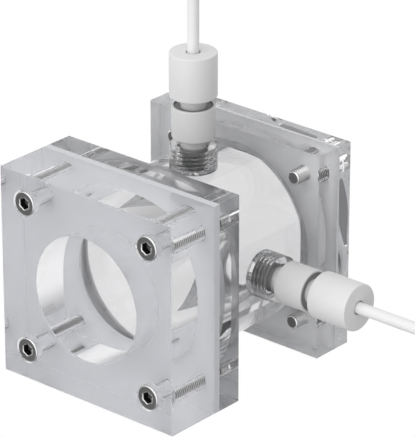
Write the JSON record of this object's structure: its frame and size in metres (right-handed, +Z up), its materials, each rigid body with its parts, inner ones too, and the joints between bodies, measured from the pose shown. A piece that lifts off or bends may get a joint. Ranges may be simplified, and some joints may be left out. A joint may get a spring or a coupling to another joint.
{
  "type": "electrochemical cell",
  "caption": "Clear acrylic electrochemical cell: round chamber between square bolted plates, a round window aperture, and white screwed tube fittings on top and side.",
  "frame": {"origin": "centre of the round aperture at the cell's front face", "axes": "+Z up, +Y along the cell's axis from the front block to the rear cover, +X towards the side fitting"},
  "size_m": [0.1122, 0.0733, 0.1122],
  "materials": {
    "acrylic": "polished clear acrylic",
    "window_glass": "polished clear glass",
    "clear_silicone": "translucent silicone sheet",
    "stainless": "stainless steel, bright",
    "white_ptfe": "white PTFE, turned, satin",
    "white_tube": "white PTFE tubing, satin",
    "seal_rubber": "grey-white fluoroelastomer ring"
  },
  "bodies": {
    "cell": {"chamber_tube": "acrylic", "cover_gasket": "clear_silicone", "cushion_gasket": "clear_silicone", "front_block": "acrylic", "front_flange": "acrylic", "front_screw_bottom_left": "stainless", "front_screw_bottom_right": "stainless", "front_screw_top_left": "stainless", "front_screw_top_right": "stainless", "rear_cover": "acrylic", "rear_flange": "acrylic", "rear_screw_bottom_left": "stainless", "rear_screw_bottom_right": "stainless", "rear_screw_top_left": "stainless", "rear_screw_top_right": "stainless", "side_boss": "acrylic", "top_boss": "acrylic", "window": "window_glass", "window_gasket": "clear_silicone"},
    "top_seal": {"top_seal": "seal_rubber"},
    "top_gland": {"top_gland": "white_ptfe"},
    "top_lead": {"top_tube": "white_tube", "top_ferrule": "white_ptfe"},
    "top_cap": {"top_cap": "white_ptfe"},
    "side_seal": {"side_seal": "seal_rubber"},
    "side_gland": {"side_gland": "white_ptfe"},
    "side_lead": {"side_tube": "white_tube", "side_ferrule": "white_ptfe"},
    "side_cap": {"side_cap": "white_ptfe"}
  },
  "joints": [
    {"name": "top_gland_lift", "type": "slide", "parent": "cell", "child": "top_seal", "axis": [0, 0, 1], "range_m": [0, 0.00438]},
    {"name": "top_gland_turn", "type": "hinge", "parent": "top_seal", "child": "top_gland", "pos_m": [0, 0.04338, 0], "axis": [0, 0, 1], "range_deg": [0, 1261]},
    {"name": "top_cap_lift", "type": "slide", "parent": "top_gland", "child": "top_lead", "axis": [0, 0, 1], "range_m": [0, 0.005]},
    {"name": "top_cap_turn", "type": "hinge", "parent": "top_lead", "child": "top_cap", "pos_m": [0, 0.04338, 0], "axis": [0, 0, 1], "range_deg": [0, 1441]},
    {"name": "side_gland_lift", "type": "slide", "parent": "cell", "child": "side_seal", "axis": [1, 0, 0], "range_m": [0, 0.00438]},
    {"name": "side_gland_turn", "type": "hinge", "parent": "side_seal", "child": "side_gland", "pos_m": [0, 0.04338, 0], "axis": [1, 0, 0], "range_deg": [0, 1261]},
    {"name": "side_cap_lift", "type": "slide", "parent": "side_gland", "child": "side_lead", "axis": [1, 0, 0], "range_m": [0, 0.005]},
    {"name": "side_cap_turn", "type": "hinge", "parent": "side_lead", "child": "side_cap", "pos_m": [0, 0.04338, 0], "axis": [1, 0, 0], "range_deg": [0, 1441]}
  ],
  "couplings": [
    {"joint": "top_gland_turn", "follows": "top_gland_lift", "rad_per_m": 5026.5},
    {"joint": "top_cap_turn", "follows": "top_cap_lift", "rad_per_m": 5026.5},
    {"joint": "side_gland_turn", "follows": "side_gland_lift", "rad_per_m": 5026.5},
    {"joint": "side_cap_turn", "follows": "side_cap_lift", "rad_per_m": 5026.5}
  ]
}
